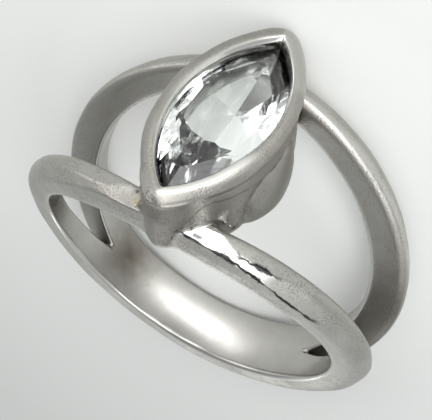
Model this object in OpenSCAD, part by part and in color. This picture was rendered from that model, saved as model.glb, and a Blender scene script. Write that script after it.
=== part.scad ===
// A split-shank silver ring with one long, pointed clear stone in a rubbed-over setting.
// It is drawn upright first, finger hole along Y and stone on top, and then laid on its side
// the way it rests by itself: one tip of the setting and one edge of the band touch z = 0.

/* [Finger hole] */
// Inner diameter of the band
finger_d = 16.5; // [15.5:0.1:18]

/* [Band and arms] */
// Thickness at the bottom of the band
bottom_t = 1.55; // [1.3:0.05:1.9]
// Thickness of the arms beside the setting
top_t = 1.4; // [1.2:0.05:1.6]
// How much thicker the metal is at the two sides of the finger
side_swell = 0.5; // [0.2:0.05:0.8]
// Width of the band at the bottom
bottom_w = 3.7; // [3:0.1:4.4]
// Width over both arms beside the setting
top_w = 10.2; // [9.8:0.1:10.6]
// Clear width between the arms beside the setting
top_gap = 8.1; // [7.6:0.1:8.4]
// Angle from the stone, round the finger, at which the band splits into its arms
split_angle = 130; // [115:1:140]
// Width of the notch where the split begins
notch_w = 0.24; // [0.2:0.02:0.4]
// How far the rounded shoulder of the band falls towards its edges
shoulder_drop = 0.35; // [0.2:0.05:0.45]
// How much the middle of the band stands above its shoulders
crown_h = 0.12; // [0:0.02:0.2]

/* [Stone] */
// Length of the stone, tip to tip
stone_l = 10; // [9:0.1:10.4]
// Width of the stone
stone_w = 4.5; // [4.2:0.1:4.7]
// Height of the stone's girdle above the finger's axis
girdle_z = 10.75; // [10.7:0.05:10.85]
// Thickness of the girdle
girdle_t = 0.1; // [0.06:0.02:0.16]
// Height of the crown, from the girdle to the table
crown_t = 0.55; // [0.45:0.05:0.65]
// Depth of the pavilion under the girdle
pavilion_t = 1.75; // [1.5:0.05:1.9]
// Size of the table as a share of the girdle outline
table_share = 0.66; // [0.6:0.01:0.72]
// Gap left all round between the stone and its seat
stone_gap = 0.03; // [0.02:0.01:0.05]

/* [Setting] */
// Length of the setting over its blunt tips
cup_l = 11.2; // [11:0.1:11.6]
// Length that the setting would have with sharp tips
cup_sharp_l = 12; // [11.8:0.1:12.4]
// Width of the setting over the lip
cup_w = 5.5; // [5.3:0.1:5.8]
// Height of the lip above the finger's axis
lip_z = 11.7; // [11.6:0.05:11.8]
// How far the lip reaches in over the edge of the stone
lip_over = 0.2; // [0.15:0.01:0.25]
// How much the blunt tips lean in from the lip down to the finger hole
tip_lean = 0.15; // [0.05:0.05:0.3]
// Width of the opening behind the stone
back_w = 2.5; // [2:0.1:2.8]

/* [Hidden] */
$fn = 128;

finger_r = finger_d / 2;
SILVER = [0.72, 0.71, 0.69];
CLEAR = [0.86, 0.92, 0.94, 0.6];
REACH = 30;

// The band: thickness, half width and half gap at an angle from the stone

SPREAD_POWER = 2.1;
GAP_POWER = 1.15;
BAND_STEP = 5;
INNER_SPARE = 0.5;

function up_share(angle) = (1 + cos(angle)) / 2;
function band_t(angle) =
    bottom_t + (top_t - bottom_t) * up_share(angle) + side_swell * pow(sin(angle), 2);
function half_width(angle) =
    bottom_w / 2 + (top_w - bottom_w) / 2 * pow(up_share(angle), SPREAD_POWER);
function half_gap(angle) =
    max(notch_w / 2, top_gap / 2 * (1 - pow(abs(angle) / split_angle, GAP_POWER)));

// A point of the band at an angle, a radius and a place along the finger
function around(angle, radius, along) = [radius * sin(angle), along, radius * cos(angle)];

// The shoulder as [distance in from the edge, share of the shoulder's drop]
SHOULDER = [[0, 1], [0.12, 0.45], [0.42, 0]];

// One section of the band as [along, radius], round from one inner edge to the other
function band_section(angle) =
    let (w = half_width(angle), r = finger_r + band_t(angle), n = len(SHOULDER))
    concat(
        [[-w, finger_r - INNER_SPARE]],
        [for (s = SHOULDER) [s[0] - w, r - s[1] * shoulder_drop]],
        [[0, r + crown_h]],
        [for (i = [n - 1:-1:0]) [w - SHOULDER[i][0], r - SHOULDER[i][1] * shoulder_drop]],
        [[w, finger_r - INNER_SPARE]]
    );

// Triangles between neighbouring sections of n points each, section count given
function tube_faces(n, count, closed) = [
    for (i = [0:count - (closed ? 1 : 2)]) for (j = [0:n - 1])
        let (a = i * n + j, b = i * n + (j + 1) % n)
        let (c = ((i + 1) % count) * n + j, d = ((i + 1) % count) * n + (j + 1) % n)
        each [[a, b, c], [b, d, c]]
];

// Triangles that close a tube of four-point sections at its first and last section
function end_faces(count) =
    let (last = 4 * (count - 1))
    [[0, 2, 1], [0, 3, 2], [last, last + 1, last + 2], [last, last + 2, last + 3]];

module whole_band() {
    angles = [-180:BAND_STEP:180 - BAND_STEP];
    sections = [for (angle = angles) [for (p = band_section(angle)) around(angle, p[1], p[0])]];
    n = len(sections[0]);
    polyhedron([for (s = sections) each s], tube_faces(n, len(sections), true));
}

// The wedge-shaped opening between the two arms, from one notch over the top to the other
GAP_SECTIONS = 53;
GAP_REACH = 4;

module split_gap() {
    inner = finger_r - 2 * INNER_SPARE;
    outer = finger_r + GAP_REACH;
    steps = GAP_SECTIONS - 1;
    sections = [
        for (i = [0:steps])
            let (angle = split_angle * (2 * i / steps - 1), g = half_gap(angle))
            [around(angle, inner, -g), around(angle, outer, -g),
                around(angle, outer, g), around(angle, inner, g)]
    ];
    polyhedron(
        [for (s = sections) each s],
        concat(tube_faces(4, GAP_SECTIONS, false), end_faces(GAP_SECTIONS))
    );
}

// The setting: a two-arc outline is the overlap of two turned discs whose axes lie
// on either side of the ring. A profile is a list of [half width, height].

function arc_radius(half_l, half_w) = (half_l * half_l + half_w * half_w) / (2 * half_w);

module pointed_solid(profile, axis_offset) {
    bottom = profile[0][1];
    top = profile[len(profile) - 1][1];
    outline = concat([[0, bottom]], [for (p = profile) [axis_offset + p[0], p[1]]], [[0, top]]);
    intersection_for (side = [-1, 1])
        translate([side * axis_offset, 0, 0]) rotate_extrude() polygon(outline);
}

cup_half_w = cup_w / 2;
cup_axis = arc_radius(cup_sharp_l / 2, cup_half_w) - cup_half_w;
stone_half_w = stone_w / 2;
stone_arc = arc_radius(stone_l / 2, stone_half_w);
stone_axis = stone_arc - stone_half_w;
girdle_top = girdle_z + girdle_t / 2;
girdle_low = girdle_z - girdle_t / 2;
cup_bottom = finger_r - 0.8;

// The lip is half round, from its outer edge over the crest to its inner edge at the stone
LIP_STEPS = 6;
LIP_RISE = 0.4;
lip_foot = lip_z - LIP_RISE;
lip_inner = stone_half_w - lip_over;
lip_mid = (cup_half_w + lip_inner) / 2;
lip_r = (cup_half_w - lip_inner) / 2;

function lip_point(turn) = [lip_mid + lip_r * cos(turn), lip_foot + LIP_RISE * sin(turn)];
function lip_arc(from) = [for (i = [0:LIP_STEPS]) lip_point(from + 90 * i / LIP_STEPS)];

// The wall under the lip as [inset from the lip's edge, drop below the lip's foot]:
// it flares out down to the finger hole, and a small step runs under the lip
WALL = [
    [-0.46, 3.85], [-0.42, 3.1], [-0.26, 2.2], [-0.04, 1.35], [0.1, 0.75], [0.15, 0.3], [0.03, 0.16]
];

// The blunt tips as a disc round the stone's axis, with a rounded top edge
TIP_FACE_H = 0.2;
TIP_BEVEL = [[0.1, 0.25], [0.35, LIP_RISE]];
tip_foot = cup_l / 2 - tip_lean;

module blunt_tips() {
    r = cup_l / 2;
    rotate_extrude() polygon(concat(
        [[0, cup_bottom - 1], [tip_foot, cup_bottom - 1], [tip_foot, finger_r]],
        [[r, lip_foot - TIP_FACE_H], [r, lip_foot]],
        [for (b = TIP_BEVEL) [r - b[0], lip_foot + b[1]]],
        [[0, lip_z]]
    ));
}

module cup() {
    wall = [for (w = WALL) [cup_half_w - w[0], lip_foot - w[1]]];
    intersection() {
        pointed_solid(concat(wall, lip_arc(0)), cup_axis);
        blunt_tips();
    }
}

// The space inside the cup: open behind, a sloped seat, the stone's pocket and the mouth,
// whose underside follows the stone's crown
SEAT_DROP = 0.9;
SEAT_CLEAR = 0.02;
POCKET_CLEAR = 0.07;

module cup_space() {
    side = stone_half_w + stone_gap;
    seat = girdle_low - SEAT_CLEAR;
    pocket = girdle_top + POCKET_CLEAR;
    crown_rise = crown_t / (stone_half_w * (1 - table_share));
    pointed_solid(concat(
        [[back_w / 2, cup_bottom - 1], [back_w / 2, seat - SEAT_DROP], [side, seat], [side, pocket]],
        [[lip_inner, pocket + (side - lip_inner) * crown_rise], [lip_inner, lip_foot]],
        [for (i = [0:LIP_STEPS]) lip_arc(90)[LIP_STEPS - i]],
        [[lip_mid, lip_z + 1]]
    ), stone_axis);
}

// The stone: a two-arc prism with flat facets ground on it. A facet is set by the
// direction that it faces in plan and its slope, and touches the girdle.

// How far the girdle's outline reaches in a direction, measured from the stone's middle
function outline_reach(dir) =
    let (x = abs(cos(dir)), y = abs(sin(dir)))
    y * stone_arc < stone_l / 2 ? stone_arc - stone_axis * x : y * stone_l / 2;

// Slope of a facet that runs from the girdle to a share of the outline at another height
function facet_slope(dir, share, rise) = atan2(rise, outline_reach(dir) * (1 - share));

// Directions of the main facets and of the small facets beside the girdle, one quarter round
MAIN_DIRS = [0, 36, 90];
GIRDLE_DIRS = [8, 22, 45, 60];
STAR_DIRS = [17, 52];

// The mirror images of a direction in one quarter
function mirrored(dir) =
    dir == 0 ? [0, 180] : dir == 90 ? [90, 270] : [dir, 180 - dir, 180 + dir, -dir];

// Takes away what lies beyond a facet; up is 1 on the crown and -1 on the pavilion
module ground_away(dir, slope, from, level, up) {
    reach = outline_reach(dir) * from;
    translate([reach * cos(dir), reach * sin(dir), level]) rotate([0, 0, dir])
        rotate([0, up * slope - up * 90, 0]) translate([0, -REACH / 2, -REACH / 2])
            cube([REACH, REACH, REACH]);
}

STEEPER_CROWN = 5;
STEEPER_PAVILION = 2.5;
FLATTER_STAR = 0.62;

module stone_solid() {
    table_z = girdle_top + crown_t;
    difference() {
        pointed_solid([[stone_half_w, girdle_low - pavilion_t], [stone_half_w, table_z]], stone_axis);
        for (main = MAIN_DIRS) for (dir = mirrored(main)) {
            ground_away(dir, facet_slope(dir, table_share, crown_t), 1, girdle_top, 1);
            ground_away(dir, facet_slope(dir, 0, pavilion_t), 1, girdle_low, -1);
        }
        for (small = GIRDLE_DIRS) for (dir = mirrored(small)) {
            ground_away(dir, facet_slope(dir, table_share, crown_t) + STEEPER_CROWN, 1, girdle_top, 1);
            ground_away(dir, facet_slope(dir, 0, pavilion_t) + STEEPER_PAVILION, 1, girdle_low, -1);
        }
        for (star = STAR_DIRS) for (dir = mirrored(star))
            ground_away(dir, facet_slope(dir, table_share, crown_t) * FLATTER_STAR,
                table_share, table_z, 1);
    }
}

// How the ring lies: the foot of the far tip and the far edge of the band touch z = 0
band_corner = [bottom_w / 2, finger_r + bottom_t - shoulder_drop];
lean = atan2(tip_foot - band_corner[0], finger_r + band_corner[1]);
rest_height = tip_foot * cos(lean) - finger_r * sin(lean);

// How far the ring then reaches in front, at the lip's far tip, and behind, at the band's shoulder
front_reach = lip_z * cos(lean) + (cup_l / 2 - TIP_BEVEL[1][0]) * sin(lean);
back_reach = (finger_r + bottom_t) * cos(lean) + (bottom_w / 2 - SHOULDER[2][0]) * sin(lean);

module lying() {
    translate([0, (front_reach - back_reach) / 2, rest_height]) rotate([-lean, 0, 0])
        rotate([0, 0, 180]) rotate([-90, 0, 0]) children();
}

module ring_metal() {
    color(SILVER) lying() difference() {
        union() {
            difference() {
                whole_band();
                split_gap();
            }
            cup();
        }
        cup_space();
        rotate([90, 0, 0]) cylinder(r = finger_r, h = REACH, center = true);
    }
}

module stone() {
    color(CLEAR) lying() stone_solid();
}

ring_metal();
stone();
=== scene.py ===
"""Looks of a split-shank silver ring with one long, pointed clear stone.

The ring is shaped upright and in millimetres, with the finger hole along Y and the stone on
top, as a maker would measure it. It is then laid on its side, in metres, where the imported
frame has it. The silver is one solid: the band, its two arms on each side and the setting.

A size's name ends in d, r, w, l, t, h or z for a diameter, radius, width, length, thickness,
height or level.
"""

from __future__ import annotations

import logging
import math
from collections.abc import Callable
from dataclasses import dataclass, field
from enum import Enum

import bmesh
import bpy
import numpy as np
from mathutils import Matrix, Vector

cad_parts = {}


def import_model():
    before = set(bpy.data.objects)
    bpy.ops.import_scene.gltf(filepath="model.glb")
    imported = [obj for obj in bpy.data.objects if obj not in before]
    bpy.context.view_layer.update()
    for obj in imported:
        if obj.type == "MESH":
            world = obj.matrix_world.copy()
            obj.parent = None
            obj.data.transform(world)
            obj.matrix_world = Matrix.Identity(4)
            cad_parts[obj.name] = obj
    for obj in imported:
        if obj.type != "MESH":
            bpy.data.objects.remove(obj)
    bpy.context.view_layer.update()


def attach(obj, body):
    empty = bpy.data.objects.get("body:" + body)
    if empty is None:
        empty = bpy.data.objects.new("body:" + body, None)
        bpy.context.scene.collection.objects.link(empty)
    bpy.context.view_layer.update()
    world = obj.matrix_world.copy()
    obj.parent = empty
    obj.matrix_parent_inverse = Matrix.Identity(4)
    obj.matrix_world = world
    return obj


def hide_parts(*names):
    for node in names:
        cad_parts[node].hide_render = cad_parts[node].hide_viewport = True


LOG = logging.getLogger("ring")
MM = 0.001
# A field is read across the ring, along the finger and at a height, and is negative inside
Field = Callable[[np.ndarray, np.ndarray, np.ndarray], np.ndarray]
# The two ends of a range, such as where a ramp starts and where it is full
Span = tuple[float, float]
Place = tuple[float, float, float]
Colour = tuple[float, float, float, float]
RISE: Span = (0.0, 1.0)
FALL: Span = (1.0, 0.0)
# Where the values of a smooth and of a rough noise mostly lie
NOISE_RANGE: Span = (0.35, 0.65)
ROUGH_NOISE_RANGE: Span = (0.3, 0.7)


def soft_max(a: np.ndarray, b: np.ndarray, blend: float | np.ndarray) -> np.ndarray:
    """Joins two fields as an overlap with a rounded edge.

    Args:
        a: First field, negative inside.
        b: Second field, negative inside.
        blend: Distance over which the edge is rounded, in millimetres.

    Returns:
        The field of what lies inside both.
    """
    share = np.maximum(blend - np.abs(a - b), 0.0) / blend
    return np.maximum(a, b) + share * share * blend * 0.25


def soft_min(a: np.ndarray, b: np.ndarray, blend: float | np.ndarray) -> np.ndarray:
    """Joins two fields as a union with a fillet between them.

    Args:
        a: First field, negative inside.
        b: Second field, negative inside.
        blend: Distance over which the crease is filled, in millimetres.

    Returns:
        The field of what lies inside either.
    """
    return -soft_max(-a, -b, blend)


def ramp(value: np.ndarray, low: float, high: float) -> np.ndarray:
    """Rises smoothly from 0 at low to 1 at high.

    Args:
        value: Where the ramp is read.
        low: Value at which it starts.
        high: Value at which it ends; it may be the smaller one.

    Returns:
        The ramp's height, from 0 to 1.
    """
    share = np.clip((value - low) / (high - low), 0.0, 1.0)
    return share * share * (3.0 - 2.0 * share)


def ball(x: np.ndarray, y: np.ndarray, z: np.ndarray, centre: Place, radius: float) -> np.ndarray:
    """Gives the field of a small ball.

    Args:
        x: Places across the ring.
        y: Places along the finger.
        z: Heights.
        centre: The ball's middle.
        radius: The ball's radius.

    Returns:
        Distance to the ball, negative inside.
    """
    return np.sqrt((x - centre[0]) ** 2 + (y - centre[1]) ** 2 + (z - centre[2]) ** 2) - radius


class Tip(Enum):
    """The two ends of the setting, by the sign of their places along the finger."""

    NEAR = -1
    FAR = 1


@dataclass(frozen=True)
class RingSizes:
    """Driving dimensions of the upright ring, in millimetres and degrees."""

    finger_d: float = 16.5
    bottom_t: float = 1.55
    top_t: float = 1.4
    side_swell: float = 0.5
    bottom_w: float = 3.7
    top_w: float = 10.2
    top_gap: float = 8.1
    split_angle: float = 130.0
    shoulder_drop: float = 0.35
    shoulder_w: float = 0.42
    crown_h: float = 0.12
    stone_l: float = 10.0
    stone_w: float = 4.5
    girdle_z: float = 10.75
    girdle_t: float = 0.1
    crown_t: float = 0.55
    pavilion_t: float = 1.75
    table_share: float = 0.66
    cup_l: float = 11.2
    cup_sharp_l: float = 12.0
    cup_w: float = 5.5
    lip_z: float = 11.7
    lip_over: float = 0.2
    lip_rise: float = 0.4
    tip_lean: float = 0.15
    tip_bevel: float = 0.35

    @property
    def finger_r(self) -> float:
        """Radius of the finger hole."""
        return self.finger_d / 2

    @property
    def lip_foot(self) -> float:
        """Height at which the lip is widest."""
        return self.lip_z - self.lip_rise

    @property
    def girdle_top(self) -> float:
        """Height at which the stone's crown starts."""
        return self.girdle_z + self.girdle_t / 2

    @property
    def girdle_low(self) -> float:
        """Height at which the stone's pavilion starts."""
        return self.girdle_z - self.girdle_t / 2

    @property
    def cup_axis(self) -> float:
        """Distance from the middle to the centre of either arc of the setting."""
        return arc_radius(self.cup_sharp_l / 2, self.cup_w / 2) - self.cup_w / 2

    @property
    def stone_axis(self) -> float:
        """Distance from the middle to the centre of either arc of the stone."""
        return arc_radius(self.stone_l / 2, self.stone_w / 2) - self.stone_w / 2


def arc_radius(half_l: float, half_w: float) -> float:
    """Gives the radius of the arcs of a pointed outline.

    Args:
        half_l: Half of the outline's length.
        half_w: Half of its width.

    Returns:
        The radius of the two arcs that meet at the tips.
    """
    return (half_l * half_l + half_w * half_w) / (2 * half_w)


@dataclass(frozen=True)
class LyingPose:
    """Lays the upright ring on its side: a tip's foot and the band's edge touch the floor."""

    sizes: RingSizes

    @property
    def lean(self) -> float:
        """Angle between the finger hole's axis and the vertical, in radians."""
        s = self.sizes
        foot = s.cup_l / 2 - s.tip_lean
        band_edge = s.finger_r + s.bottom_t - s.shoulder_drop
        return math.atan2(foot - s.bottom_w / 2, s.finger_r + band_edge)

    def matrix(self) -> np.ndarray:
        """Works out the turn and shift from upright millimetres to the frame's metres.

        Returns:
            A 4x4 matrix.
        """
        s = self.sizes
        sine, cosine = math.sin(self.lean), math.cos(self.lean)
        foot = s.cup_l / 2 - s.tip_lean
        front = s.lip_z * cosine + (s.cup_l / 2 - s.tip_bevel) * sine
        back_r = s.finger_r + s.bottom_t
        back = back_r * cosine + (s.bottom_w / 2 - s.shoulder_w) * sine
        placed = np.array(
            [
                [-1.0, 0.0, 0.0, 0.0],
                [0.0, -sine, -cosine, (front - back) / 2],
                [0.0, -cosine, sine, foot * cosine - s.finger_r * sine],
                [0.0, 0.0, 0.0, 1.0 / MM],
            ]
        )
        return placed * MM

    def place(self, points: np.ndarray) -> np.ndarray:
        """Moves upright points in millimetres to the frame, in metres."""
        m = self.matrix()
        return points @ m[:3, :3].T + m[:3, 3]

    def turn(self, directions: np.ndarray) -> np.ndarray:
        """Turns upright directions to the frame's."""
        return directions @ (self.matrix()[:3, :3] / MM).T


@dataclass(frozen=True)
class Section:
    """How an arm's outer edge is shaped at an angle from the stone."""

    angle: float
    drop: float
    facet_w: float
    ridge: float
    crease: float


@dataclass
class Shank:
    """The band and the arms that it splits into."""

    sizes: RingSizes
    spread_power: float = 2.1
    gap_power: float = 1.15
    crotch_r: float = 0.12
    gap_round: float = 0.42
    arm_dome: float = 0.07
    band_dome: float = 0.2
    dome_reach: float = 1.2
    least_spread: float = 0.1
    side_lean: float = 0.22
    lean_from_r: float = 8.95
    lean_turn: Span = (40.0, 15.0)
    split_turn: Span = (150.0, 122.0)
    # Where the near right arm's facet is mirror-bright
    bright_edge: Span = (-0.03, 0.01)
    bright_right: Span = (-0.5, 0.0)
    bright_skin: Span = (0.12, 0.04)
    bright_turn: Span = (31.0, 25.0)
    bright_r: Span = (8.6, 8.9)
    # Where the two edges of that facet are drawn as dark lines, partly painted shade on the facet, in
    # degrees from the stone
    dark_r: Span = (8.5, 8.7)
    low_dark_from: Span = (3.0, 6.0)
    low_dark_to: Span = (50.0, 46.0)
    ridge_dark_from: Span = (16.0, 21.0)
    ridge_dark_to: Span = (33.0, 29.0)
    # The outer edge of the near and the far arms, from the stone down to the band's bottom
    near: tuple[Section, ...] = (
        Section(angle=0, drop=0.2, facet_w=1.3, ridge=0.1, crease=0.1),
        Section(angle=11, drop=0.27, facet_w=1.2, ridge=0.07, crease=0.06),
        Section(angle=14, drop=0.3, facet_w=0.82, ridge=0.07, crease=0.06),
        Section(angle=17, drop=0.32, facet_w=0.5, ridge=0.07, crease=0.06),
        Section(angle=21, drop=0.38, facet_w=0.42, ridge=0.08, crease=0.06),
        Section(angle=30, drop=0.5, facet_w=0.5, ridge=0.09, crease=0.08),
        Section(angle=38, drop=0.6, facet_w=0.66, ridge=0.1, crease=0.12),
        Section(angle=46, drop=0.66, facet_w=0.66, ridge=0.2, crease=0.25),
        Section(angle=56, drop=0.56, facet_w=0.6, ridge=0.6, crease=0.8),
        Section(angle=90, drop=0.42, facet_w=0.5, ridge=0.8, crease=0.9),
        Section(angle=135, drop=0.35, facet_w=0.42, ridge=0.45, crease=0.6),
        Section(angle=180, drop=0.35, facet_w=0.42, ridge=0.3, crease=0.5),
    )
    far: tuple[Section, ...] = (
        Section(angle=0, drop=0.3, facet_w=0.5, ridge=0.2, crease=0.3),
        Section(angle=60, drop=0.36, facet_w=0.5, ridge=0.25, crease=0.4),
        Section(angle=135, drop=0.35, facet_w=0.42, ridge=0.25, crease=0.4),
        Section(angle=180, drop=0.35, facet_w=0.42, ridge=0.14, crease=0.4),
    )

    def up_share(self, angle: np.ndarray) -> np.ndarray:
        """Share of the way from the band's bottom up to the stone."""
        return (1 + np.cos(angle)) / 2

    def thickness(self, angle: np.ndarray) -> np.ndarray:
        """Gives the thickness of the metal.

        Args:
            angle: Angles from the stone, in radians.

        Returns:
            The thickness at each angle.
        """
        s = self.sizes
        swell = s.side_swell * np.sin(angle) ** 2
        return s.bottom_t + (s.top_t - s.bottom_t) * self.up_share(angle) + swell

    def half_width(self, angle: np.ndarray) -> np.ndarray:
        """Gives half of the width over both arms.

        Args:
            angle: Angles from the stone, in radians.

        Returns:
            The half width at each angle.
        """
        s = self.sizes
        spread = (s.top_w - s.bottom_w) / 2
        return s.bottom_w / 2 + spread * self.up_share(angle) ** self.spread_power

    def half_gap(self, angle: np.ndarray) -> np.ndarray:
        """Half of the gap between the arms, negative past the split."""
        share = angle / math.radians(self.sizes.split_angle)
        return self.sizes.top_gap / 2 * (1 - share**self.gap_power)

    def edge(self, angle: np.ndarray, y: np.ndarray, what: str) -> np.ndarray:
        """Reads one value of the edge's section round the ring.

        Args:
            angle: Angles from the stone, in radians.
            y: Places along the finger; their sign says which arm it is.
            what: Name of the value in Section.

        Returns:
            The value at each place.
        """
        turned = np.degrees(angle)

        def column(rows: tuple[Section, ...]) -> np.ndarray:
            """Follows one column of a table of sections."""
            return np.interp(turned, [r.angle for r in rows], [getattr(r, what) for r in rows])

        return np.where(y < 0, column(self.near), column(self.far))

    def faces(self, x: np.ndarray, y: np.ndarray, z: np.ndarray) -> dict[str, np.ndarray]:
        """Works out the fields of the faces that bound the metal.

        Args:
            x: Places across the ring.
            y: Places along the finger.
            z: Heights.

        Returns:
            The fields of the top, the bevelled facet, the outer side and the gap's side.
        """
        s = self.sizes
        radius, angle, side = np.hypot(x, z), np.abs(np.arctan2(x, z)), np.abs(y)
        half, gap = self.half_width(angle), self.half_gap(angle)
        split = ramp(np.degrees(angle), *self.split_turn)
        middle = (half + np.maximum(gap, 0.0)) / 2 * split
        spread = np.maximum(half - middle, self.least_spread)
        across = np.clip((side - middle) / spread, -self.dome_reach, self.dome_reach)
        fall = self.band_dome * (1 - split) + self.arm_dome * split
        dome = s.crown_h * (1 - split) - fall * across**2
        outer = s.finger_r + self.thickness(angle)
        drop, facet_w = self.edge(angle, y, "drop"), self.edge(angle, y, "facet_w")
        slope = drop / facet_w
        rise = outer - drop + slope * (half - side)
        notch = np.sqrt(y * y + self.crotch_r**2)
        leaning = ramp(np.degrees(angle), *self.lean_turn) * (y < 0) * self.side_lean
        return {
            "top": radius - outer - dome,
            "facet": (radius - rise) / np.sqrt(1 + slope * slope),
            "side": side - half + leaning * np.maximum(radius - self.lean_from_r, 0.0),
            "gap": gap - notch,
        }

    def field(self, x: np.ndarray, y: np.ndarray, z: np.ndarray) -> np.ndarray:
        """Gives the shank's field, solid down to the middle of the finger hole.

        Args:
            x: Places across the ring.
            y: Places along the finger.
            z: Heights.

        Returns:
            Roughly the distance to the shank, negative inside.
        """
        angle = np.abs(np.arctan2(x, z))
        face = self.faces(x, y, z)
        outer = soft_max(face["top"], face["facet"], self.edge(angle, y, "crease"))
        outer = soft_max(outer, face["side"], self.edge(angle, y, "ridge"))
        return soft_max(outer, face["gap"], self.gap_round)

    def polish(self, x: np.ndarray, y: np.ndarray, z: np.ndarray) -> np.ndarray:
        """Tells how mirror-bright the bevelled facet of the near right arm is.

        Args:
            x: Places across the ring.
            y: Places along the finger.
            z: Heights.

        Returns:
            1 on the facet and 0 elsewhere.
        """
        turned = np.degrees(np.abs(np.arctan2(x, z)))
        face = self.faces(x, y, z)
        on_facet = ramp(face["facet"] - np.maximum(face["top"], face["side"]), *self.bright_edge)
        on_facet = on_facet * (y < 0) * ramp(x, *self.bright_right)
        on_facet = on_facet * ramp(self.field(x, y, z), *self.bright_skin)
        return on_facet * ramp(turned, *self.bright_turn) * ramp(np.hypot(x, z), *self.bright_r)

    def marks(self, x: np.ndarray, y: np.ndarray, z: np.ndarray) -> dict[str, np.ndarray]:
        """Measures how far each place lies from the two edges of the near right arm's facet.

        Args:
            x: Places across the ring.
            y: Places along the finger.
            z: Heights.

        Returns:
            The distances to the lower and the upper edge, and where each edge is drawn dark, partly as
            painted shade on the facet.
        """
        turned = np.degrees(np.abs(np.arctan2(x, z)))
        face = self.faces(x, y, z)
        near = (y < 0) * (x > 0) * ramp(np.hypot(x, z), *self.dark_r)
        return {
            "low_edge": face["facet"] - face["side"],
            "low_dark": near * ramp(turned, *self.low_dark_from) * ramp(turned, *self.low_dark_to),
            "ridge_edge": face["facet"] - face["top"],
            "ridge_dark": near * ramp(turned, *self.ridge_dark_from) * ramp(turned, *self.ridge_dark_to),
        }


@dataclass(frozen=True)
class Level:
    """The half width that a wall, a hollow or a column has at a height."""

    z: float
    half_w: float


def half_width_at(levels: tuple[Level, ...], z: np.ndarray) -> np.ndarray:
    """Reads half widths at some heights between those of a table."""
    return np.interp(z, [level.z for level in levels], [level.half_w for level in levels])


@dataclass(frozen=True)
class LeafPoint:
    """A point of the leaf-shaped edge below which the wall is set back."""

    y: float
    z: float


@dataclass(frozen=True)
class Bead:
    """A small bead of solder left against the wall."""

    centre: Place
    radius: float
    blend: float


@dataclass(frozen=True)
class Stain:
    """A round stain on the silver."""

    centre: Place
    radius: float


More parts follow.
